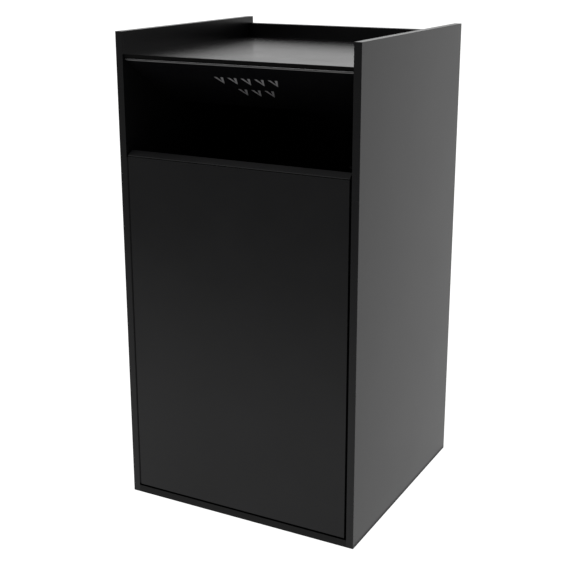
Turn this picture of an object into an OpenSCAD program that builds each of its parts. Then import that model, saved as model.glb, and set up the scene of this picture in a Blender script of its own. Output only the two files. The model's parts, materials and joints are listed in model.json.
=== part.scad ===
// Free-standing drop box: a black laminated cabinet with a tray top, a swinging drop flap,
// an inset door on a piano hinge and a loose collection bin behind the door.
// Origin: middle of the footprint on the floor. The front faces -Y, +X is the viewer's right.

/* [Cabinet] */
// Overall width
body_w = 622; // [560:2:700]
// Overall depth
body_d = 610; // [580:2:680]
// Overall height
body_h = 1168; // [1120:1:1240]
// Thickness of the boards
board_t = 18; // [18:1:20]
// Thickness of the edge bands
band_t = 1; // [0.8:0.1:1.2]
// Depth of the tray recess below the side panels' tops
tray_drop = 52; // [46:1:60]
// Drop of the back panel's top below the side panels' tops
back_drop = 17; // [10:1:24]
// Inset of the back panel from the side panels' rear edges
back_inset = 6; // [2:1:10]

/* [Flap] */
// Gap between the hanging flap's lower edge and the top of the door's rail
flap_gap = 2.5; // [2:0.5:12]
// Thickness of the flap's sheet
flap_t = 5; // [4:0.5:5]
// Outer radius of the flap's knuckle
knuckle_r = 3.5; // [3.5:0.1:4.5]
// Radius of the steel rod that the flap swings on
rod_r = 2; // [1.5:0.1:2]
// Angle of the flap from the vertical, lower edge inwards
flap_open = 57; // [0:1:70]

/* [Door] */
// Gap between the door and the left side panel, where the hinge sits
gap_left = 4.5; // [4.5:0.1:5]
// Gap between the door and the right side panel
gap_right = 5.5; // [4:0.1:6]
// Gap between the door and the base panel
gap_bottom = 5; // [2:0.1:6]
// Height of the door's top edge above the floor
door_top = 877.5; // [870:0.5:878]
// Height of the bevelled pull rail on the door
rail_h = 13; // [10:0.5:13]

/* [Bin] */
// Outer width of the bin below its rim
bin_w = 480; // [420:5:480]
// Outer depth of the bin below its rim
bin_d = 500; // [440:5:500]
// Height of the bin
bin_h = 730; // [600:5:730]
// Thickness of the bin's walls
bin_t = 3; // [3:0.5:4]

/* [Hidden] */
$fn = 48;

// Air left between round pieces and their holes
fit = 0.05;
// Air left between a moving piece and what it comes to rest against
rest_gap = 0.3;
// A cut runs this far past the face that it opens
cut = 1;
// Hairline between two edge bands that meet at a corner
butt = 0.05;

// Cabinet planes; the hinge's knuckles stand hinge_proud in front of the cabinet
hinge_proud = 1;
front_y = -body_d / 2 + hinge_proud;
rear_y = body_d / 2;
inner_x = body_w / 2 - board_t;
back_y0 = rear_y - back_inset - board_t;
back_y1 = rear_y - back_inset;
tray_z = body_h - tray_drop;
shelf_z = tray_z - board_t;
shelf_inset = 4;
shelf_y = front_y + shelf_inset;
nose_t = 8;
rabbet_d = 34;
rabbet_y = shelf_y + rabbet_d;

// Knock-down fasteners
cam_r = 7.5;
cam_len = 13;
cam_x = inner_x - 24;
cam_slot = [8, 1.2];
bolt_r = 3;
bolt_neck_r = 2.4;
bolt_grip = 11;
dowel_r = 4;
dowel_side = 12;
dowel_board = 20;
bolt_ys = [-200, 180];
dowel_ys = [-240, 220];
back_bolt_zs = [260, 640, 1010];
back_dowel_zs = [140, 450, 830];
back_mid_y = (back_y0 + back_y1) / 2;
// Each cam: y, z and the turn about X that points it out of its board
cam_places = [for (y = bolt_ys) [y, board_t / 2, 0],
              for (y = bolt_ys) [y, shelf_z + board_t / 2, 180],
              for (z = back_bolt_zs) [back_mid_y, z, -90]];
base_dowels = [for (y = dowel_ys) [y, board_t / 2]];
shelf_dowels = [for (y = dowel_ys) [y, shelf_z + board_t / 2]];
back_dowels = [for (z = back_dowel_zs) [back_mid_y, z]];

// Flap, drawn hanging straight down from its axis and then tilted
flap_inset = 2;
flap_y = shelf_y + flap_inset + knuckle_r;
flap_z = tray_z - nose_t - rest_gap - knuckle_r;
flap_len = flap_z - door_top - rail_h - flap_gap;
flap_half = inner_x - 3;
bush_r = rod_r + 0.9;
bush_flange_r = knuckle_r;
bush_flange_t = 1;
bush_len = 10;
stop_r = 2.5;
stop_len = 7;
stop_root_r = 1.5;
stop_root = 8;
stop_y = flap_y - flap_t / 2 - rest_gap - stop_r;
stop_z = door_top + rail_h + 14.5;
mark_t = 0.2;
mark_w = 24;
mark_h = 32;
mark_stroke = 7;
mark_notch = 11;
mark_pitch = 35;
// Rows of the print: number of marks and the distance of their middle from the hinge axis
mark_rows = [[5, 75], [3, 132]];

// Door
door_x0 = -inner_x + gap_left;
door_x1 = inner_x - gap_right;
door_z0 = board_t + gap_bottom;
door_back_y = front_y + board_t;
rail_reveal = 2;
rail_reveal_depth = 7;
rail_dowel_r = 3;
rail_dowel_xs = [-240, -80, 80, 240];

// Piano hinge
hinge_r = 1.9;
pin_r = 0.9;
leaf_t = 0.8;
leaf_w = 17;
knuckle_pitch = 25;
knuckle_gap = 0.3;
knuckle_count = 34;
hinge_x = (-inner_x + door_x0) / 2;
hinge_y = front_y - hinge_proud + hinge_r;
hinge_z0 = door_z0 + 3;
leaf_y0 = hinge_y + hinge_r + 0.6;
leaf_screw_y = hinge_y + 10;
leaf_screw_zs = [for (i = [0 : 6]) hinge_z0 + 65 + i * 120];
screw_r = 1.5;
screw_head_r = 2.6;
leaf_screw_len = 14;

// Catch and strike
catch_z = 825;
catch_x0 = inner_x - 23;
flange_t = 3;
catch_y0 = door_back_y + 1.8;
catch_y1 = catch_y0 + 16;
flange_y1 = catch_y0 + 28;
catch_h = 30;
flange_h = 44;
pocket_x0 = catch_x0 + 3;
pocket_w = 11;
pocket_d = 11;
pocket_h = 20;
pole_t = 1.5;
catch_screw_zs = [catch_z - 14, catch_z + 14];
catch_screw_y = flange_y1 - 6;
pan_head_r = 3;
pan_head_t = 2;
strike_t = 1;
strike_x = [door_x1 - 19.5, door_x1 - 0.5];

// Door stop
strip_w = 22;
strip_y0 = door_back_y + 3;
strip_z = [60, 780];
strip_screw_zs = [100, 420, 740];
strip_screw_r = 1.75;
strip_head_r = 3.5;
bumper_r = 5;
bumper_x = inner_x - 14;
bumper_zs = [90, 750];

// Bin
rim_w = 12;
rim_t = 4;
bin_floor_t = 4;
grip_r = 14;
grip_len = 110;
grip_drop = 60;

cabinet_color = [0.10, 0.10, 0.11];
band_color = [0.14, 0.14, 0.15];
gloss_color = [0.03, 0.03, 0.035];
steel_color = [0.62, 0.63, 0.65];
zinc_color = [0.55, 0.55, 0.53];
nylon_color = [0.18, 0.18, 0.18];
wood_color = [0.72, 0.58, 0.40];
print_color = [0.75, 0.75, 0.75];
bin_color = [0.22, 0.23, 0.25];

// A box from its lowest to its highest corner
module box_between(low, high) {
    translate(low) cube(high - low);
}

// A round bar along X
module bar_x(r, x0, x1, y, z) {
    translate([x0, y, z]) rotate([0, 90, 0]) cylinder(r = r, h = x1 - x0);
}

// What is drawn for the right side, again for the left
module both_sides() {
    children();
    mirror([1, 0, 0]) children();
}

// A countersunk screw along Z, its head's face at z = 0 and its shank downwards
module flat_screw(r, head_r, length) {
    head_h = head_r - r;
    translate([0, 0, -head_h]) cylinder(r1 = r, r2 = head_r, h = head_h);
    translate([0, 0, -length]) cylinder(r = r, h = length - head_h);
}

// The hole that the screw above fills, with a little air round it
module flat_screw_hole(r, head_r, length) {
    head_h = head_r - r;
    translate([0, 0, -head_h]) cylinder(r1 = r + fit, r2 = head_r + fit, h = head_h);
    translate([0, 0, -fit]) cylinder(r = head_r + fit, h = cut);
    translate([0, 0, -length - fit]) cylinder(r = r + fit, h = length);
}

// Blind holes in the right side panel for the cam bolts, the dowels, the bush and the flap stop
module side_holes() {
    for (p = cam_places) bar_x(bolt_r + fit, inner_x - cut, inner_x + bolt_grip + 1, p[0], p[1]);
    for (p = concat(base_dowels, shelf_dowels, back_dowels))
        bar_x(dowel_r, inner_x - cut, inner_x + dowel_side + 0.5, p[0], p[1]);
    bar_x(bush_r + fit, inner_x - cut, inner_x + bush_len + 0.5, flap_y, flap_z);
    bar_x(stop_root_r + fit, inner_x - cut, inner_x + stop_root + 0.5, stop_y, stop_z);
}

module side_board() {
    difference() {
        box_between([inner_x, front_y + band_t, 0], [body_w / 2, rear_y, body_h - band_t]);
        side_holes();
    }
}

module left_side_panel() {
    color(cabinet_color) difference() {
        mirror([1, 0, 0]) side_board();
        at_cabinet_leaf_screws() flat_screw_hole(screw_r, screw_head_r, leaf_screw_len);
    }
}

module right_side_panel() {
    color(cabinet_color) difference() {
        side_board();
        for (z = catch_screw_zs) bar_x(screw_r + fit, inner_x - cut, inner_x + 12.5, catch_screw_y, z);
        at_strip_screws() flat_screw_hole(strip_screw_r, strip_head_r, strip_w + 14);
    }
}

// Cam bores and bolt holes at both ends of a board, for the places in the list
module cam_cuts(places) {
    both_sides() for (p = places) {
        bar_x(bolt_r + 0.2, cam_x, inner_x + cut, p[0], p[1]);
        translate([cam_x, p[0], p[1]]) rotate([p[2], 0, 0])
            translate([0, 0, board_t / 2 - cam_len]) cylinder(r = cam_r, h = cam_len + cut);
    }
}

module dowel_cuts(places) {
    both_sides() for (p = places) bar_x(dowel_r, inner_x - dowel_board - 0.5, inner_x + cut, p[0], p[1]);
}

module base_panel() {
    color(cabinet_color) difference() {
        box_between([-inner_x, front_y + band_t, 0], [inner_x, back_y0, board_t]);
        cam_cuts([for (p = cam_places) if (p[2] == 0) p]);
        dowel_cuts(base_dowels);
    }
}

module back_panel() {
    color(cabinet_color) difference() {
        box_between([-inner_x, back_y0, 0], [inner_x, back_y1, body_h - back_drop - band_t]);
        cam_cuts([for (p = cam_places) if (p[2] == -90) p]);
        dowel_cuts(back_dowels);
    }
}

// The shelf's front is rabbeted from below to a thin nose, which leaves room for the flap's knuckle
module tray_shelf() {
    color(cabinet_color) difference() {
        box_between([-inner_x, shelf_y + band_t, shelf_z], [inner_x, back_y0, tray_z]);
        box_between([-inner_x - cut, shelf_y, shelf_z - cut], [inner_x + cut, rabbet_y, tray_z - nose_t]);
        cam_cuts([for (p = cam_places) if (p[2] == 180) p]);
        dowel_cuts(shelf_dowels);
    }
}

module side_edge_bands() {
    color(band_color) both_sides() {
        box_between([inner_x, front_y, 0], [body_w / 2, front_y + band_t, body_h - band_t - butt]);
        box_between([inner_x, front_y, body_h - band_t], [body_w / 2, rear_y, body_h]);
    }
}

module base_edge_band() {
    color(band_color) box_between([-inner_x, front_y, 0], [inner_x, front_y + band_t, board_t]);
}

module back_edge_band() {
    top = body_h - back_drop;
    color(band_color) box_between([-inner_x, back_y0, top - band_t], [inner_x, back_y1, top]);
}

module shelf_edge_band() {
    color(band_color)
        box_between([-inner_x, shelf_y, tray_z - nose_t], [inner_x, shelf_y + band_t, tray_z]);
}

module panel_dowels() {
    color(wood_color) both_sides() for (p = concat(base_dowels, shelf_dowels, back_dowels))
        bar_x(dowel_r - fit, inner_x - dowel_board, inner_x + dowel_side, p[0], p[1]);
}

module cam_bolts() {
    color(zinc_color) both_sides() for (p = cam_places) {
        bar_x(bolt_r, inner_x, inner_x + bolt_grip, p[0], p[1]);
        bar_x(bolt_neck_r, cam_x, inner_x + cut, p[0], p[1]);
        bar_x(bolt_r, cam_x - 2, cam_x + 2, p[0], p[1]);
    }
}

// A disc with a crossed driver slot in its face and a channel for the bolt's head
module cam_nut() {
    face = board_t / 2 - 0.2;
    difference() {
        translate([0, 0, board_t / 2 - cam_len + fit]) cylinder(r = cam_r - fit, h = cam_len - 0.2 - fit);
        bar_x(bolt_r + 0.15, -3, cam_r + cut, 0, 0);
        for (turn = [0, 90]) rotate([0, 0, turn])
            translate([-cam_slot[0] / 2, -cam_slot[1] / 2, face - 2])
                cube([cam_slot[0], cam_slot[1], 2 + cut]);
    }
}

module cam_nuts() {
    color(zinc_color) both_sides() for (p = cam_places)
        translate([cam_x, p[0], p[1]]) rotate([p[2], 0, 0]) cam_nut();
}

// Places what is drawn hanging from the flap's axis
module at_flap() {
    translate([0, flap_y, flap_z]) rotate([flap_open, 0, 0]) children();
}

module drop_flap() {
    edge_r = flap_t / 2;
    color(gloss_color) at_flap() difference() {
        union() {
            bar_x(knuckle_r, -flap_half, flap_half, 0, 0);
            box_between([-flap_half, -edge_r, -flap_len + edge_r], [flap_half, edge_r, -rod_r]);
            bar_x(edge_r, -flap_half, flap_half, 0, -flap_len + edge_r);
        }
        bar_x(rod_r + fit, -flap_half - cut, flap_half + cut, 0, 0);
    }
}

// One mark of the print: a plain chevron that points down
module chevron() {
    half = mark_w / 2;
    polygon([[-half, mark_h], [-half + mark_stroke, mark_h], [0, mark_notch],
             [half - mark_stroke, mark_h], [half, mark_h], [0, 0]]);
}

module flap_marking() {
    color(print_color) at_flap() for (row = mark_rows) for (i = [0 : row[0] - 1])
        translate([(i - (row[0] - 1) / 2) * mark_pitch, -flap_t / 2, -row[1] - mark_h / 2])
            rotate([90, 0, 0]) linear_extrude(mark_t) chevron();
}

module flap_rod() {
    end = inner_x + bush_len - 1;
    color(steel_color) bar_x(rod_r, -end, end, flap_y, flap_z);
}

module flap_bushes() {
    color(nylon_color) both_sides() difference() {
        union() {
            bar_x(bush_r, inner_x - cut, inner_x + bush_len, flap_y, flap_z);
            bar_x(bush_flange_r, inner_x - bush_flange_t, inner_x, flap_y, flap_z);
        }
        bar_x(rod_r + fit, inner_x - bush_flange_t - cut, inner_x + bush_len + cut, flap_y, flap_z);
    }
}

module flap_stops() {
    color(nylon_color) both_sides() {
        bar_x(stop_r, inner_x - stop_len, inner_x, stop_y, stop_z);
        bar_x(stop_root_r, inner_x - cut, inner_x + stop_root, stop_y, stop_z);
    }
}

module door_panel() {
    color(cabinet_color) difference() {
        box_between([door_x0 + band_t, front_y, door_z0 + band_t],
                    [door_x1 - band_t, door_back_y, door_top - band_t]);
        at_rail_dowels() cylinder(r = rail_dowel_r, h = 12.5 + cut);
        at_door_leaf_screws() flat_screw_hole(screw_r, screw_head_r, leaf_screw_len);
        at_strike_screws() flat_screw_hole(screw_r, screw_head_r, 12);
    }
}

module door_edge_bands() {
    color(band_color) difference() {
        union() {
            for (x = [door_x0, door_x1 - band_t])
                box_between([x, front_y, door_z0], [x + band_t, door_back_y, door_top]);
            for (z = [door_z0, door_top - band_t])
                box_between([door_x0 + band_t + butt, front_y, z],
                            [door_x1 - band_t - butt, door_back_y, z + band_t]);
        }
        at_rail_dowels() cylinder(r = rail_dowel_r, h = 12.5 + cut);
        at_door_leaf_screws() flat_screw_hole(screw_r, screw_head_r, leaf_screw_len);
    }
}

// The places of the rail's dowels, at the bottom of their holes in the door
module at_rail_dowels() {
    for (x = rail_dowel_xs) translate([x, front_y + board_t * 0.6, door_top - 12.5]) children();
}

// Bevelled rail: a low front lip over a fine reveal, then a slope up to a narrow flat
module door_pull_rail() {
    slope_z = door_top + rail_reveal + 1;
    top_z = door_top + rail_h;
    color(cabinet_color) difference() {
        translate([door_x0, 0, 0]) rotate([90, 0, 90]) linear_extrude(door_x1 - door_x0)
            polygon([[front_y + rail_reveal_depth, door_top],
                     [front_y + rail_reveal_depth, door_top + rail_reveal],
                     [front_y, door_top + rail_reveal],
                     [front_y, slope_z],
                     [door_back_y - 2, top_z],
                     [door_back_y, top_z],
                     [door_back_y, door_top]]);
        at_rail_dowels() translate([0, 0, 6]) cylinder(r = rail_dowel_r, h = 12);
    }
}

module rail_dowels() {
    color(wood_color) at_rail_dowels() translate([0, 0, 0.5]) cylinder(r = rail_dowel_r - fit, h = 17);
}

// Knuckles number first, first + 2 and so on, with the tabs that join them to their leaf
module hinge_knuckles(first, tab_x) {
    for (i = [first : 2 : knuckle_count - 1]) {
        z0 = hinge_z0 + i * knuckle_pitch + knuckle_gap / 2;
        length = knuckle_pitch - knuckle_gap;
        translate([hinge_x, hinge_y, z0]) cylinder(r = hinge_r, h = length);
        translate([tab_x, hinge_y, z0]) cube([leaf_t, leaf_y0 - hinge_y + cut, length]);
    }
}

module hinge_leaf(first, leaf_x) {
    leaf_h = knuckle_count * knuckle_pitch;
    difference() {
        union() {
            translate([leaf_x, leaf_y0, hinge_z0]) cube([leaf_t, hinge_y + leaf_w - leaf_y0, leaf_h]);
            hinge_knuckles(first, leaf_x);
        }
        translate([hinge_x, hinge_y, hinge_z0 - cut]) cylinder(r = pin_r + fit, h = leaf_h + 2 * cut);
    }
}

module at_cabinet_leaf_screws() {
    for (z = leaf_screw_zs) translate([-inner_x + leaf_t, leaf_screw_y, z]) rotate([0, 90, 0]) children();
}

module at_door_leaf_screws() {
    for (z = leaf_screw_zs) translate([door_x0 - leaf_t, leaf_screw_y, z]) rotate([0, -90, 0]) children();
}

module hinge_cabinet_leaf() {
    color(steel_color) difference() {
        hinge_leaf(0, -inner_x);
        at_cabinet_leaf_screws() flat_screw_hole(screw_r, screw_head_r, leaf_screw_len);
    }
}

module hinge_door_leaf() {
    color(steel_color) difference() {
        hinge_leaf(1, door_x0 - leaf_t);
        at_door_leaf_screws() flat_screw_hole(screw_r, screw_head_r, leaf_screw_len);
    }
}

module hinge_pin() {
    color(steel_color) translate([hinge_x, hinge_y, hinge_z0])
        cylinder(r = pin_r, h = knuckle_count * knuckle_pitch);
}

module hinge_cabinet_screws() {
    color(steel_color) at_cabinet_leaf_screws() flat_screw(screw_r, screw_head_r, leaf_screw_len);
}

module hinge_door_screws() {
    color(steel_color) at_door_leaf_screws() flat_screw(screw_r, screw_head_r, leaf_screw_len);
}

module catch_housing() {
    z0 = catch_z - catch_h / 2;
    color(nylon_color) difference() {
        union() {
            box_between([catch_x0, catch_y0, z0], [inner_x - flange_t, catch_y1, z0 + catch_h]);
            box_between([inner_x - flange_t, catch_y0, catch_z - flange_h / 2],
                        [inner_x, flange_y1, catch_z + flange_h / 2]);
        }
        box_between([pocket_x0, catch_y0 - cut, catch_z - pocket_h / 2],
                    [pocket_x0 + pocket_w, catch_y0 + pocket_d, catch_z + pocket_h / 2]);
        for (z = catch_screw_zs)
            bar_x(screw_r + fit, inner_x - flange_t - cut, inner_x + cut, catch_screw_y, z);
    }
}

// The magnet and the pole plates lie in the housing's pocket; the poles stand a little proud
module in_pocket(x0, x1, y0) {
    box_between([pocket_x0 + x0, y0, catch_z - pocket_h / 2],
                [pocket_x0 + x1, catch_y0 + pocket_d, catch_z + pocket_h / 2]);
}

module catch_magnet() {
    color([0.25, 0.24, 0.24]) in_pocket(pole_t, pocket_w - pole_t, catch_y0);
}

module catch_pole_plates() {
    pole_y = door_back_y + strike_t + rest_gap;
    color(steel_color) {
        in_pocket(0, pole_t, pole_y);
        in_pocket(pocket_w - pole_t, pocket_w, pole_y);
    }
}

module catch_screws() {
    color(steel_color) for (z = catch_screw_zs) {
        bar_x(screw_r, inner_x - flange_t - pan_head_t, inner_x + 12, catch_screw_y, z);
        bar_x(pan_head_r, inner_x - flange_t - pan_head_t, inner_x - flange_t, catch_screw_y, z);
    }
}

module at_strike_screws() {
    for (z = catch_screw_zs) translate([(strike_x[0] + strike_x[1]) / 2, door_back_y + strike_t, z])
        rotate([-90, 0, 0]) children();
}

module strike_plate() {
    color(steel_color) difference() {
        box_between([strike_x[0], door_back_y, catch_z - flange_h / 2],
                    [strike_x[1], door_back_y + strike_t, catch_z + flange_h / 2]);
        at_strike_screws() flat_screw_hole(screw_r, screw_head_r, 12);
    }
}

module strike_screws() {
    color(steel_color) at_strike_screws() flat_screw(screw_r, screw_head_r, 12);
}

module at_strip_screws() {
    for (z = strip_screw_zs) translate([inner_x - strip_w, strip_y0 + board_t / 2, z])
        rotate([0, -90, 0]) children();
}

module door_stop_strip() {
    color(cabinet_color) difference() {
        box_between([inner_x - strip_w, strip_y0, strip_z[0]], [inner_x, strip_y0 + board_t, strip_z[1]]);
        at_strip_screws() flat_screw_hole(strip_screw_r, strip_head_r, strip_w + 14);
    }
}

module stop_strip_screws() {
    color(zinc_color) at_strip_screws() flat_screw(strip_screw_r, strip_head_r, strip_w + 12);
}

module door_bumpers() {
    color([0.06, 0.06, 0.06]) for (z = bumper_zs)
        translate([bumper_x, strip_y0, z]) rotate([90, 0, 0]) cylinder(r = bumper_r, h = 3 - rest_gap);
}

// A long slot through the bin's side walls to lift it by
module bin_grip() {
    for (y = [-1, 1] * (grip_len / 2 - grip_r))
        bar_x(grip_r, -bin_w, bin_w, y, board_t + bin_h - grip_drop);
    box_between([-bin_w, -grip_len / 2 + grip_r, board_t + bin_h - grip_drop - grip_r],
                [bin_w, grip_len / 2 - grip_r, board_t + bin_h - grip_drop + grip_r]);
}

// Open box with a flat rim turned outwards
module collection_bin() {
    low = board_t;
    top = board_t + bin_h;
    color(bin_color) difference() {
        union() {
            box_between([-bin_w / 2, -bin_d / 2, low], [bin_w / 2, bin_d / 2, top]);
            box_between([-bin_w / 2 - rim_w, -bin_d / 2 - rim_w, top - rim_t],
                        [bin_w / 2 + rim_w, bin_d / 2 + rim_w, top]);
        }
        box_between([-bin_w / 2 + bin_t, -bin_d / 2 + bin_t, low + bin_floor_t],
                    [bin_w / 2 - bin_t, bin_d / 2 - bin_t, top + cut]);
        bin_grip();
    }
}

left_side_panel();
right_side_panel();
base_panel();
back_panel();
tray_shelf();
side_edge_bands();
base_edge_band();
back_edge_band();
shelf_edge_band();
panel_dowels();
cam_bolts();
cam_nuts();
drop_flap();
flap_marking();
flap_rod();
flap_bushes();
flap_stops();
door_panel();
door_edge_bands();
door_pull_rail();
rail_dowels();
hinge_cabinet_leaf();
hinge_door_leaf();
hinge_pin();
hinge_cabinet_screws();
hinge_door_screws();
catch_housing();
catch_magnet();
catch_pole_plates();
catch_screws();
strike_plate();
strike_screws();
door_stop_strip();
stop_strip_screws();
door_bumpers();
collection_bin();
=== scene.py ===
"""Looks of the drop box: a black laminated cabinet with a glossy drop flap and an inset door."""
import json
import math

import bmesh
import bpy
from mathutils import Matrix, Vector


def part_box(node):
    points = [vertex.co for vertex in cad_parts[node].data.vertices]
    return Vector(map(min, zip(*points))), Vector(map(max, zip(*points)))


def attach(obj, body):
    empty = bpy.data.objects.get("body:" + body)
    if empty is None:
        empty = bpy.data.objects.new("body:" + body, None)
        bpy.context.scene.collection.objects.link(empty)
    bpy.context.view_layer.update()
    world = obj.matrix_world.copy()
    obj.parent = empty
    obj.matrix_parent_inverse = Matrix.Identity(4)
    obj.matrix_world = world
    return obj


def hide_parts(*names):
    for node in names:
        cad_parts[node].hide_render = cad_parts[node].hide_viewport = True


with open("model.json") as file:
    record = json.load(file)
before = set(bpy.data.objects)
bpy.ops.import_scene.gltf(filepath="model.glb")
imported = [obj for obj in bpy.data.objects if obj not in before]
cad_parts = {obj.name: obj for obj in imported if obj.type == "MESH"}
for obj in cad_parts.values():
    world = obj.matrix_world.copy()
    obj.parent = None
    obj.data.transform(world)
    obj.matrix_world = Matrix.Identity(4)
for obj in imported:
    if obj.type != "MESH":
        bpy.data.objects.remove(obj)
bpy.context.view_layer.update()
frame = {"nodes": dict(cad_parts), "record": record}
nodes = frame["nodes"]
MM = 0.001
# Vertices closer than this are one vertex
SAME_POINT = 0.001 * MM


# ---------------------------------------------------------------- material tools
class Graph:
    """Short names for building a node material."""

    def __init__(self, name):
        self.material = bpy.data.materials.new(name)
        self.material.use_nodes = True
        self.tree = self.material.node_tree
        self.shader = self.tree.nodes["Principled BSDF"]
        self.coords = self.node("ShaderNodeTexCoord").outputs["Object"]

    def node(self, kind, **settings):
        made = self.tree.nodes.new(kind)
        for key, value in settings.items():
            setattr(made, key, value)
        return made

    def link(self, source, target):
        self.tree.links.new(source, target)

    def feed(self, socket, value):
        """Links another node's output to a socket, or sets the socket's own value."""
        if isinstance(value, bpy.types.NodeSocket):
            self.link(value, socket)
        else:
            socket.default_value = value

    def place(self):
        """The object coordinates as separate X, Y and Z outputs."""
        made = self.node("ShaderNodeSeparateXYZ")
        self.link(self.coords, made.inputs["Vector"])
        return made.outputs

    def stretched(self, scale):
        """Object coordinates, scaled along each axis."""
        mapping = self.node("ShaderNodeMapping")
        mapping.inputs["Scale"].default_value = scale
        self.link(self.coords, mapping.inputs["Vector"])
        return mapping.outputs["Vector"]

    def noise(self, size, detail=2.0, rough=0.5, scale=(1, 1, 1), distort=0.0):
        """Noise whose blobs are about size metres wide."""
        made = self.node("ShaderNodeTexNoise")
        made.inputs["Scale"].default_value = 1 / size
        made.inputs["Detail"].default_value = detail
        made.inputs["Roughness"].default_value = rough
        made.inputs["Distortion"].default_value = distort
        self.link(self.stretched(scale), made.inputs["Vector"])
        return made.outputs["Fac"]

    def remap(self, source, low, high, to_low, to_high):
        made = self.node("ShaderNodeMapRange")
        made.inputs["From Min"].default_value = low
        made.inputs["From Max"].default_value = high
        made.inputs["To Min"].default_value = to_low
        made.inputs["To Max"].default_value = to_high
        self.link(source, made.inputs["Value"])
        return made.outputs["Result"]

    def math(self, operation, a, b):
        made = self.node("ShaderNodeMath", operation=operation)
        self.feed(made.inputs[0], a)
        self.feed(made.inputs[1], b)
        return made.outputs["Value"]

    def mix(self, factor, first, second):
        """The first colour where factor is 0 and the second where it is 1."""
        made = self.node("ShaderNodeMix", data_type="RGBA")
        self.link(factor, made.inputs["Factor"])
        self.feed(made.inputs["A"], first)
        self.feed(made.inputs["B"], second)
        return made.outputs["Result"]

    def shades(self, factor, tone, dark, light):
        """The same tone, from dark times to light times its strength."""
        low, high = ((*(channel * gain for channel in tone), 1) for gain in (dark, light))
        return self.mix(factor, low, high)

    def bump(self, height, strength, distance):
        made = self.node("ShaderNodeBump")
        made.inputs["Strength"].default_value = strength
        made.inputs["Distance"].default_value = distance
        self.link(height, made.inputs["Height"])
        self.link(made.outputs["Normal"], self.shader.inputs["Normal"])

    def set(self, **values):
        for key, value in values.items():
            self.feed(self.shader.inputs[key.replace("_", " ")], value)


LAMINATE_SHINE = 0.185
# The side panels are a little less glossy; in a strip just above the floor their shine drops as painted
# shade, standing in for the floor's contact shadow seen in them
SIDE_SHINE = 0.15
FLOOR_SHADE_SHINE = 0.01
FLOOR_SHADE_FROM, FLOOR_SHADE_TO = 2 * MM, 13 * MM
RAW_EDGE_ROUGHNESS = 0.85
CHIP_SIZE = 2.2 * MM
CHIP_STRETCH = (1, 1, 0.45)


def melamine(g, tone, rough_low, rough_high):
    """Colour and roughness of black melamine: a fine pearl, with faint cloudy changes of sheen."""
    pearl = g.noise(0.9 * MM)
    clouds = g.noise(0.16, detail=4.0, rough=0.6)
    g.bump(pearl, 0.08, 0.1 * MM)
    colour = g.shades(g.remap(clouds, 0.35, 0.65, 0, 1), tone, 0.85, 1.15)
    return colour, g.remap(clouds, 0.3, 0.7, rough_low, rough_high)


def laminate(name, tone, rough_low, rough_high, shine=LAMINATE_SHINE):
    g = Graph(name)
    colour, rough = melamine(g, tone, rough_low, rough_high)
    g.set(Base_Color=colour, Roughness=rough, Specular_IOR_Level=shine)
    return g.material


def raw_edged(name, tone, rough_low, rough_high, rear):
    """Laminate with a raw rear edge of dark sealed particle board, and painted shade (lowered shine) just
    above the floor.
    """
    g = Graph(name)
    colour, rough = melamine(g, tone, rough_low, rough_high)
    place = g.place()
    edge = g.remap(place["Y"], rear - 0.3 * MM, rear - 0.2 * MM, 0.0, 1.0)
    chips = g.node("ShaderNodeTexVoronoi")
    chips.inputs["Scale"].default_value = 1 / CHIP_SIZE
    g.link(g.stretched(CHIP_STRETCH), chips.inputs["Vector"])
    board = g.mix(chips.outputs["Distance"], (0.035, 0.026, 0.019, 1), (0.012, 0.009, 0.007, 1))
    raw = g.math("MULTIPLY", edge, RAW_EDGE_ROUGHNESS)
    g.set(Base_Color=g.mix(edge, colour, board), Roughness=g.math("MAXIMUM", rough, raw))
    # Painted shade: the shine falls away towards the floor, in place of the reflected contact shadow
    g.set(Specular_IOR_Level=g.remap(place["Z"], FLOOR_SHADE_FROM, FLOOR_SHADE_TO, FLOOR_SHADE_SHINE, SIDE_SHINE))
    return g.material


def moulded(name, tone, roughness, shine=0.5):
    """Moulded plastic with a fine grain."""
    g = Graph(name)
    grain = g.noise(0.8 * MM)
    clouds = g.noise(0.08, detail=3.0)
    g.set(Base_Color=g.shades(clouds, tone, 0.8, 1.2), Specular_IOR_Level=shine)
    g.set(Roughness=g.remap(clouds, 0.3, 0.7, roughness - 0.05, roughness + 0.05))
    g.bump(grain, 0.3, 0.08 * MM)
    return g.material


def gloss(name, tone):
    """Polished sheet with a very slight waviness and the odd faint smear."""
    g = Graph(name)
    wave = g.noise(0.06, detail=1.0)
    smear = g.noise(0.03, detail=5.0, rough=0.7, scale=(1, 1, 0.4), distort=0.6)
    g.set(Base_Color=g.shades(smear, tone, 0.7, 1.3))
    g.set(Roughness=g.remap(smear, 0.45, 0.75, 0.1, 0.18), Specular_IOR_Level=0.9)
    g.bump(wave, 0.05, 0.2 * MM)
    return g.material


def metal(name, tone, roughness, brushed=(1, 1, 1)):
    """Steel with a fine grain along the axis whose scale is small."""
    g = Graph(name)
    grain = g.noise(0.4 * MM, detail=3.0, scale=brushed)
    spots = g.noise(6 * MM, detail=4.0)
    g.set(Base_Color=g.shades(spots, tone, 0.8, 1.0), Metallic=1.0)
    g.set(Roughness=g.remap(grain, 0.3, 0.7, roughness - 0.06, roughness + 0.08))
    g.bump(grain, 0.15, 0.02 * MM)
    return g.material


def beech(name):
    """Bare beech with its grain along X."""
    g = Graph(name)
    grain = g.noise(2.0 * MM, detail=5.0, scale=(0.12, 1, 1), distort=0.4)
    g.set(Base_Color=g.mix(grain, (0.36, 0.22, 0.11, 1), (0.58, 0.41, 0.24, 1)), Roughness=0.6)
    g.bump(grain, 0.3, 0.1 * MM)
    return g.material


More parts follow.
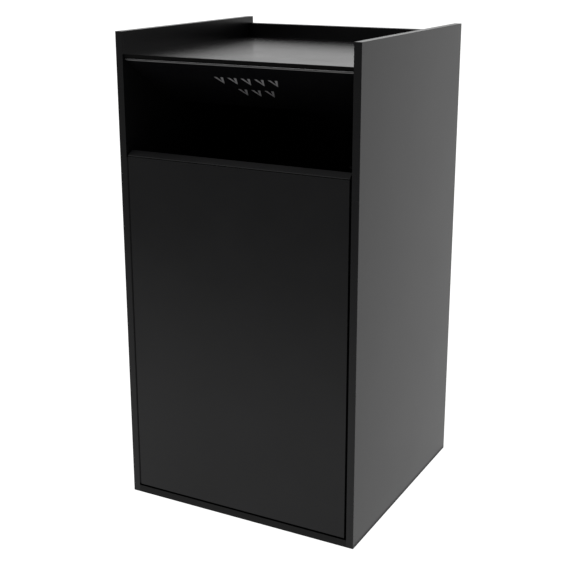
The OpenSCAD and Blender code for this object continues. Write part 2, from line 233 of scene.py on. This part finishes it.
def ink(name, tone):
    """Screen print, slightly uneven."""
    g = Graph(name)
    mottle = g.noise(1.5 * MM, detail=3.0)
    g.set(Base_Color=g.shades(mottle, tone, 0.85, 1.0))
    g.set(Roughness=g.remap(mottle, 0.3, 0.7, 0.5, 0.6))
    g.bump(mottle, 0.1, 0.02 * MM)
    return g.material


BLACK = (0.0043, 0.0043, 0.0047)
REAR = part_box("left_side_panel")[1].y
MATERIALS = {
    "laminate": laminate("laminate", BLACK, 0.23, 0.27),
    "raw_edged": raw_edged("raw_edged", BLACK, 0.23, 0.27, REAR),
    "edge_band": laminate("edge_band", (0.0045, 0.0045, 0.0049), 0.25, 0.3),
    "satin": laminate("satin", (0.007, 0.007, 0.0075), 0.3, 0.35, shine=0.6),
    # A darker, less shiny copy of the laminate for the base edge: painted shade, standing in for the floor's
    # contact shadow reflected in it
    "floor_shaded_band": laminate("floor_shaded_band", (0.003, 0.003, 0.003), 0.5, 0.6, shine=0.14),
    "shaded_band": laminate("shaded_band", (0.002, 0.002, 0.002), 0.5, 0.6, shine=0.05),
    "beech": beech("beech"),
    "zinc": metal("zinc", (0.60, 0.60, 0.58), 0.34),
    "steel": metal("steel", (0.56, 0.56, 0.57), 0.30, brushed=(1, 1, 0.05)),
    "flap_gloss": gloss("flap_gloss", (0.004, 0.004, 0.0045)),
    "print": ink("print", (0.21, 0.21, 0.215)),
    "black_paint": moulded("black_paint", (0.0025, 0.0025, 0.0027), 0.5, shine=0.08),
    "nylon": moulded("nylon", (0.012, 0.012, 0.012), 0.42),
    "dull_nylon": moulded("dull_nylon", (0.0012, 0.0012, 0.0012), 0.7, shine=0.02),
    "magnet": moulded("magnet", (0.03, 0.028, 0.026), 0.6),
    "rubber": moulded("rubber", (0.012, 0.012, 0.012), 0.7),
    "bin_plastic": moulded("bin_plastic", (0.03, 0.031, 0.034), 0.45),
}


# ---------------------------------------------------------------- CAD nodes
def shade_by_angle():
    """Geometry nodes that shade a mesh smooth and keep its edges over 30 degrees sharp."""
    tree = bpy.data.node_groups.new("shade_by_angle", "GeometryNodeTree")
    tree.interface.new_socket("Geometry", in_out="INPUT", socket_type="NodeSocketGeometry")
    tree.interface.new_socket("Geometry", in_out="OUTPUT", socket_type="NodeSocketGeometry")
    start = tree.nodes.new("NodeGroupInput")
    end = tree.nodes.new("NodeGroupOutput")
    faces = tree.nodes.new("GeometryNodeSetShadeSmooth")
    edges = tree.nodes.new("GeometryNodeSetShadeSmooth")
    edges.domain = "EDGE"
    edges.inputs["Shade Smooth"].default_value = False
    angle = tree.nodes.new("GeometryNodeInputMeshEdgeAngle")
    sharp = tree.nodes.new("FunctionNodeCompare")
    sharp.operation = "GREATER_THAN"
    sharp.inputs["B"].default_value = math.radians(30)
    tree.links.new(start.outputs[0], faces.inputs["Geometry"])
    tree.links.new(faces.outputs[0], edges.inputs["Geometry"])
    tree.links.new(angle.outputs["Unsigned Angle"], sharp.inputs["A"])
    tree.links.new(sharp.outputs[0], edges.inputs["Selection"])
    tree.links.new(edges.outputs[0], end.inputs[0])
    return tree


SHADING = shade_by_angle()


def shade(piece):
    """Smooth shading between sharp edges, with flat faces kept flat up to their rounded edges."""
    piece.modifiers.new("shading", "NODES").node_group = SHADING
    normals = piece.modifiers.new("normals", "WEIGHTED_NORMAL")
    normals.mode = "FACE_AREA"
    normals.weight = 50
    normals.keep_sharp = True


def weld(piece):
    piece.modifiers.new("weld", "WELD").merge_threshold = SAME_POINT


def bevel(piece, name, width, angle):
    """Rounds a piece's edges that turn by more than angle degrees."""
    edges = piece.modifiers.new(name, "BEVEL")
    edges.width = width
    edges.segments = 2
    edges.limit_method = "ANGLE"
    edges.angle_limit = math.radians(angle)


def soften(piece, radius):
    """Joins coplanar triangles, then rounds the sharp edges."""
    flat = piece.modifiers.new("flat", "DECIMATE")
    flat.decimate_type = "DISSOLVE"
    flat.angle_limit = math.radians(1)
    bevel(piece, "bevel", radius, 40)


# Nodes whose finish differs a little from their slot's, and the base edge band, whose darker copy is painted
# shade
OWN_FINISH = {
    "hinge_cabinet_leaf": "black_paint",
    "hinge_door_leaf": "black_paint",
    "hinge_pin": "black_paint",
    "door_pull_rail": "satin",
    "flap_stops": "dull_nylon",
    "flap_bushes": "dull_nylon",
    "shelf_edge_band": "shaded_band",
    # The base edge band takes the darker copy as painted shade
    "base_edge_band": "floor_shaded_band",
    "left_side_panel": "raw_edged",
    "right_side_panel": "raw_edged",
}
# How far nodes' edges are rounded; the nodes that aren't here are only shaded
ROUNDED = (
    (0.15 * MM, ("left_side_panel", "right_side_panel", "base_panel", "back_panel")),
    (0.15 * MM, ("tray_shelf", "door_panel", "cam_nuts")),
    (0.2 * MM, ("side_edge_bands", "base_edge_band", "back_edge_band", "shelf_edge_band")),
    (0.2 * MM, ("door_edge_bands", "catch_pole_plates", "strike_plate")),
    (0.3 * MM, ("drop_flap",)),
    (0.4 * MM, ("door_pull_rail", "door_stop_strip")),
    (0.5 * MM, ("catch_housing", "flap_stops")),
    (0.9 * MM, ("door_bumpers",)),
)
EDGE_RADIUS = {name: radius for radius, names in ROUNDED for name in names}


def finish_cad():
    """Gives every CAD node its material, its rounded edges and its shading."""
    slots = {row["node"]: row["material_slot"] for row in frame["record"]["subparts"]}
    for name, piece in nodes.items():
        piece.data.materials.clear()
        piece.data.materials.append(MATERIALS[OWN_FINISH.get(name, slots[name])])
        weld(piece)
        if name in EDGE_RADIUS:
            soften(piece, EDGE_RADIUS[name])
        shade(piece)


# ---------------------------------------------------------------- pieces made here
def add_piece(name, bm, node, body):
    """A finished mesh that stands for one CAD node, with that node's material."""
    mesh = bpy.data.meshes.new(name)
    bmesh.ops.recalc_face_normals(bm, faces=bm.faces)
    bm.to_mesh(mesh)
    bm.free()
    piece = bpy.data.objects.new(name, mesh)
    bpy.context.collection.objects.link(piece)
    mesh.materials.append(nodes[node].data.materials[0])
    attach(piece, body)
    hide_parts(node)
    return piece


def bridge(bm, low, high):
    """Quads between two rings with the same number of vertices."""
    count = len(low)
    for i in range(count):
        bm.faces.new((low[i], low[(i + 1) % count], high[(i + 1) % count], high[i]))


def islands(node):
    """The lowest and highest corner of each separate solid of a node."""
    bm = bmesh.new()
    bm.from_mesh(nodes[node].data)
    bmesh.ops.remove_doubles(bm, verts=bm.verts, dist=SAME_POINT)
    left = set(bm.verts)
    boxes = []
    while left:
        front = [left.pop()]
        found = []
        while front:
            vert = front.pop()
            found.append(vert.co.copy())
            near = {edge.other_vert(vert) for edge in vert.link_edges} & left
            left -= near
            front += near
        low = Vector(min(v[i] for v in found) for i in range(3))
        high = Vector(max(v[i] for v in found) for i in range(3))
        boxes.append((low, high))
    bm.free()
    return sorted(boxes, key=lambda box: tuple(round(v, 5) for v in box[0]))


# A crossed recess, as shares of the screw head's radius
CROSS_ARM = 0.22
CROSS_REACH = 0.62
CROSS_DEPTH = 0.45
CROSS_TAPER = 0.7
# A screw's point, as a share of its shank's radius
POINT = 0.3
# Sides of a screw's outline
ROUND = 32
# How far each screw is turned on from the one before, in degrees
SPIN = 37


def cross_ring(bm, z, radius):
    """The outline of a crossed driver recess: twelve corners."""
    arm, reach = CROSS_ARM * radius, CROSS_REACH * radius
    quarter = [(reach, -arm), (reach, arm), (arm, arm)]
    ring = []
    for turn in range(4):
        c, s = ((1, 0), (0, 1), (-1, 0), (0, -1))[turn]
        ring += [bm.verts.new((c * x - s * y, s * x + c * y, z)) for x, y in quarter]
    return ring


def screw(radius, head_radius, length, profile):
    """A screw along -Z whose head's face is at z = 0; profile is its outline as (radius, z) pairs."""
    bm = bmesh.new()
    rings = []
    for r, z in profile + [(radius, -length + radius), (radius * POINT, -length)]:
        steps = [2 * math.pi * i / ROUND for i in range(ROUND)]
        rings.append([bm.verts.new((r * math.cos(t), r * math.sin(t), z)) for t in steps])
    for low, high in zip(rings, rings[1:]):
        bridge(bm, low, high)
    bm.faces.new(rings[-1])
    mouth = cross_ring(bm, 0, head_radius)
    floor = cross_ring(bm, -CROSS_DEPTH * head_radius, CROSS_TAPER * head_radius)
    bridge(bm, mouth, floor)
    bm.faces.new(floor)
    edges = []
    for ring in (rings[0], mouth):
        for pair in zip(ring, ring[1:] + ring[:1]):
            edges.append(bm.edges.get(pair) or bm.edges.new(pair))
    bmesh.ops.triangle_fill(bm, use_beauty=True, use_dissolve=False, edges=edges)
    return bm


def sunk_head(head, shank):
    """The outline of a countersunk head, flush with the face around it."""
    return [(0.95 * head, 0), (head, -0.12 * MM), (shank, shank - head)]


def pan_head(head, shank, height):
    """The outline of a head that stands proud of the face around it."""
    dome = [(0.72, 0), (0.9, -0.2), (1, -0.55), (1, -1)]
    return [(r * head, z * height) for r, z in dome] + [(shank, -height)]


def add_screws(node, body, facing, shank, pan=0.0):
    """Replaces a node's plain screws by crossed ones at the same places; pan is a proud head's height."""
    turned = facing.to_track_quat("Z", "Y").to_matrix().to_4x4()
    axis = max(range(3), key=lambda i: abs(facing[i]))
    joined = bmesh.new()
    for i, (low, high) in enumerate(islands(node)):
        middle = (low + high) / 2
        length = high[axis] - low[axis]
        head = (high - low)[(axis + 1) % 3] / 2
        middle[axis] = high[axis] if facing[axis] > 0 else low[axis]
        profile = pan_head(head, shank, pan) if pan else sunk_head(head, shank)
        bm = screw(shank, head, length, profile)
        spin = Matrix.Rotation(math.radians(SPIN * i), 4, "Z")
        bm.transform(Matrix.Translation(middle) @ turned @ spin)
        scratch = bpy.data.meshes.new("scratch")
        bm.to_mesh(scratch)
        bm.free()
        joined.from_mesh(scratch)
        bpy.data.meshes.remove(scratch)
    piece = add_piece(node + "_crossed", joined, node, body)
    shade(piece)


# The bin: how far its rim reaches past its wall, its wall, its draft, its corners' radius, and its bead
BIN_RIM = 12 * MM
BIN_WALL = 3 * MM
BIN_DRAFT = 8 * MM
BIN_CORNER = 34 * MM
BIN_LEAST_CORNER = 4 * MM
BEAD_AT = 0.6
BEAD_OUT = 2 * MM
FLOOR_EDGE = 16
# Outlines in millimetres: how far inside the top's wall line, and how high above the bin's underside
BIN_FOOT = [(26, 3), (24, 0.4), (23, 0), (12, 0), (9, 0.8), (8, 2.5)]
# The same, but with heights from the rim's top: out under the rim, over it and in again
BIN_LIP = [(0.6, -16), (-0.4, -10), (-1.5, -6), (-4, -4), (-9, -3.6), (-10.4, -5), (-10.6, -15), (-11.6, -16),
           (-12, -15), (-12, -3), (-11, -0.8), (-9, 0), (0.5, 0), (2.4, -0.8), (3, -3)]
# Inside, from the inner wall's foot inwards: how far from it, and how high
BIN_FLOOR = [(1.5, 8), (6, 4.6), (12, 4)]
# Steps of each quarter of a rounded corner
CORNER_STEPS = 8


def rounded_ring(bm, half_x, half_y, radius, z):
    """A rectangle with round corners, anticlockwise."""
    ring = []
    for quarter, (sx, sy) in enumerate(((1, 1), (-1, 1), (-1, -1), (1, -1))):
        for step in range(CORNER_STEPS + 1):
            t = math.radians(90 * (quarter + step / CORNER_STEPS))
            x = sx * (half_x - radius) + radius * math.cos(t)
            y = sy * (half_y - radius) + radius * math.sin(t)
            ring.append(bm.verts.new((x, y, z)))
    return ring


def bin_profile(height):
    """The bin's outline from its underside up, over the rim and down inside: (inset, height) pairs."""

    def taper(z):
        return BIN_DRAFT * (1 - z / height)

    bead = BEAD_AT * height
    profile = [(inset * MM, z * MM) for inset, z in BIN_FOOT]
    for out, rise in ((0, -9 * MM), (BEAD_OUT, -6 * MM), (BEAD_OUT, 6 * MM), (0, 9 * MM)):
        profile.append((taper(bead + rise) - out, bead + rise))
    profile += [(inset * MM, height + z * MM) for inset, z in BIN_LIP]
    profile += [(taper(z) + BIN_WALL, z) for z in (bead, FLOOR_EDGE * MM)]
    profile += [(BIN_DRAFT + BIN_WALL + inset * MM, z * MM) for inset, z in BIN_FLOOR]
    return profile


def add_bin():
    """A moulded tub: tapered walls, a raised bead, a rim that turns down, and a foot ring below."""
    low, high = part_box("collection_bin")
    half_x, half_y = high.x - BIN_RIM, high.y - BIN_RIM
    bm = bmesh.new()
    rings = []
    for inset, z in bin_profile(high.z - low.z):
        radius = max(BIN_CORNER - inset, BIN_LEAST_CORNER)
        rings.append(rounded_ring(bm, half_x - inset, half_y - inset, radius, low.z + z))
    for first, second in zip(rings, rings[1:]):
        bridge(bm, first, second)
    bm.faces.new(rings[0])
    bm.faces.new(rings[-1])
    piece = add_piece("moulded_bin", bm, "collection_bin", "cabinet")
    cut_grips(piece, half_x, high.z)
    bevel(piece, "edges", 0.8 * MM, 50)
    shade(piece)


GRIP_REACH = 55 * MM
GRIP_RADIUS = 14 * MM
GRIP_DROP = 60 * MM
GRIP_STEPS = 64
CUTTER_PAST = 30 * MM


def cut_grips(piece, half_x, top):
    """Cuts the two lifting slots through the bin's side walls."""
    bm = bmesh.new()
    rings = []
    for x in (-half_x - CUTTER_PAST, half_x + CUTTER_PAST):
        ring = []
        for step in range(GRIP_STEPS):
            t = 2 * math.pi * step / GRIP_STEPS
            y = GRIP_RADIUS * math.cos(t) + math.copysign(GRIP_REACH - GRIP_RADIUS, math.cos(t))
            ring.append(bm.verts.new((x, y, top - GRIP_DROP + GRIP_RADIUS * math.sin(t))))
        rings.append(ring)
    bridge(bm, *rings)
    bm.faces.new(rings[0])
    bm.faces.new(rings[1])
    bmesh.ops.recalc_face_normals(bm, faces=bm.faces)
    mesh = bpy.data.meshes.new("cutter")
    bm.to_mesh(mesh)
    bm.free()
    cutter = bpy.data.objects.new("cutter", mesh)
    bpy.context.collection.objects.link(cutter)
    slots = piece.modifiers.new("slots", "BOOLEAN")
    slots.object = cutter
    slots.operation = "DIFFERENCE"
    slots.solver = "EXACT"
    shown = piece.evaluated_get(bpy.context.evaluated_depsgraph_get())
    carved = bpy.data.meshes.new_from_object(shown)
    piece.modifiers.clear()
    piece.data = carved
    bpy.data.objects.remove(cutter)


finish_cad()
add_bin()
SHANK = 1.5 * MM
THICK_SHANK = 1.75 * MM
PAN_HEIGHT = 2 * MM
RIGHT, LEFT, BACK = Vector((1, 0, 0)), Vector((-1, 0, 0)), Vector((0, 1, 0))
add_screws("hinge_cabinet_screws", "cabinet", RIGHT, SHANK)
add_screws("hinge_door_screws", "door", LEFT, SHANK)
add_screws("strike_screws", "door", BACK, SHANK)
add_screws("stop_strip_screws", "cabinet", LEFT, THICK_SHANK)
add_screws("catch_screws", "cabinet", LEFT, SHANK, pan=PAN_HEIGHT)


# ---------------------------------------------------------------- stage, light and camera
WHITE = (1, 1, 1, 1)
FLOOR_HALF = 40.0
# The floor lies just below the base, so that the two never share a plane
FLOOR_DROP = 0.2 * MM
FLOOR_GREY = (0.34, 0.34, 0.34, 1)
# The floor's glow: dim far in front of the object, full from just before it backwards
GLOW_FROM, GLOW_TO = -2.4, -0.9
GLOW_DIM, GLOW_FULL = 0.27, 0.98


def add_floor():
    """A pale floor with a glow of its own, which keeps shadows faint; it dims in front."""
    mesh = bpy.data.meshes.new("floor")
    corners = [(x * FLOOR_HALF, y * FLOOR_HALF, 0) for x, y in ((-1, -1), (1, -1), (1, 1), (-1, 1))]
    mesh.from_pydata(corners, [], [(0, 1, 2, 3)])
    floor = bpy.data.objects.new("floor", mesh)
    floor.location.z = -FLOOR_DROP
    bpy.context.collection.objects.link(floor)
    g = Graph("floor")
    glow = g.remap(g.place()["Y"], GLOW_FROM, GLOW_TO, GLOW_DIM, GLOW_FULL)
    g.set(Base_Color=FLOOR_GREY, Roughness=0.8, Specular_IOR_Level=0.0)
    g.set(Emission_Color=WHITE, Emission_Strength=glow)
    mesh.materials.append(g.material)


# Each fade: the direction it follows, where along it it starts and ends, and the strength at either end
WORLD_FADES = (
    ((0, 1, 0), -0.9, 0.2, 0.2, 1.0),
    ((0, 0, 1), 0.35, 0.9, 1.0, 0.45),
)


def add_world():
    """Brightest low behind the object, dim in front and overhead."""
    world = bpy.data.worlds.new("studio")
    bpy.context.scene.world = world
    world.use_nodes = True
    tree = world.node_tree
    background = tree.nodes["Background"]
    background.inputs["Color"].default_value = WHITE
    coords = tree.nodes.new("ShaderNodeTexCoord")
    strength = background.inputs["Strength"]
    for along, start, end, first, last in WORLD_FADES:
        reach = tree.nodes.new("ShaderNodeVectorMath")
        reach.operation = "DOT_PRODUCT"
        reach.inputs[1].default_value = along
        tree.links.new(coords.outputs["Generated"], reach.inputs[0])
        fade = tree.nodes.new("ShaderNodeMapRange")
        fade.interpolation_type = "SMOOTHSTEP"
        for key, value in (("From Min", start), ("From Max", end), ("To Min", first), ("To Max", last)):
            fade.inputs[key].default_value = value
        tree.links.new(reach.outputs["Value"], fade.inputs["Value"])
        product = tree.nodes.new("ShaderNodeMath")
        product.operation = "MULTIPLY"
        product.inputs[1].default_value = 1.0
        tree.links.new(fade.outputs["Result"], product.inputs[0])
        tree.links.new(product.outputs["Value"], strength)
        strength = product.inputs[1]


def add_softbox(place, aim, side, watts):
    """A square area lamp at one point that looks at another."""
    lamp = bpy.data.lights.new("softbox", "AREA")
    lamp.size = side
    lamp.energy = watts
    piece = bpy.data.objects.new("softbox", lamp)
    piece.location = place
    piece.rotation_euler = (aim - place).to_track_quat("-Z", "Y").to_euler()
    bpy.context.collection.objects.link(piece)


def add_camera(place, down, turn, lens, shift):
    """A camera that looks down and to the left by these angles in degrees."""
    camera = bpy.data.objects.new("camera", bpy.data.cameras.new("camera"))
    camera.data.sensor_width = 36
    camera.data.lens = lens
    camera.data.shift_y = shift
    camera.data.clip_end = 200
    camera.location = place
    camera.rotation_euler = (math.radians(90 - down), 0, math.radians(turn))
    bpy.context.collection.objects.link(camera)
    bpy.context.scene.camera = camera


bpy.context.scene.view_settings.view_transform = "Standard"
add_floor()
add_world()
add_softbox(place=Vector((-1.35, -2.1, 3.1)), aim=Vector((0, -0.3, 1.1)), side=1.2, watts=26)
add_camera(place=(1.2422, -2.3843, 1.3651), down=15.95, turn=27.93, lens=68.5, shift=-0.057)
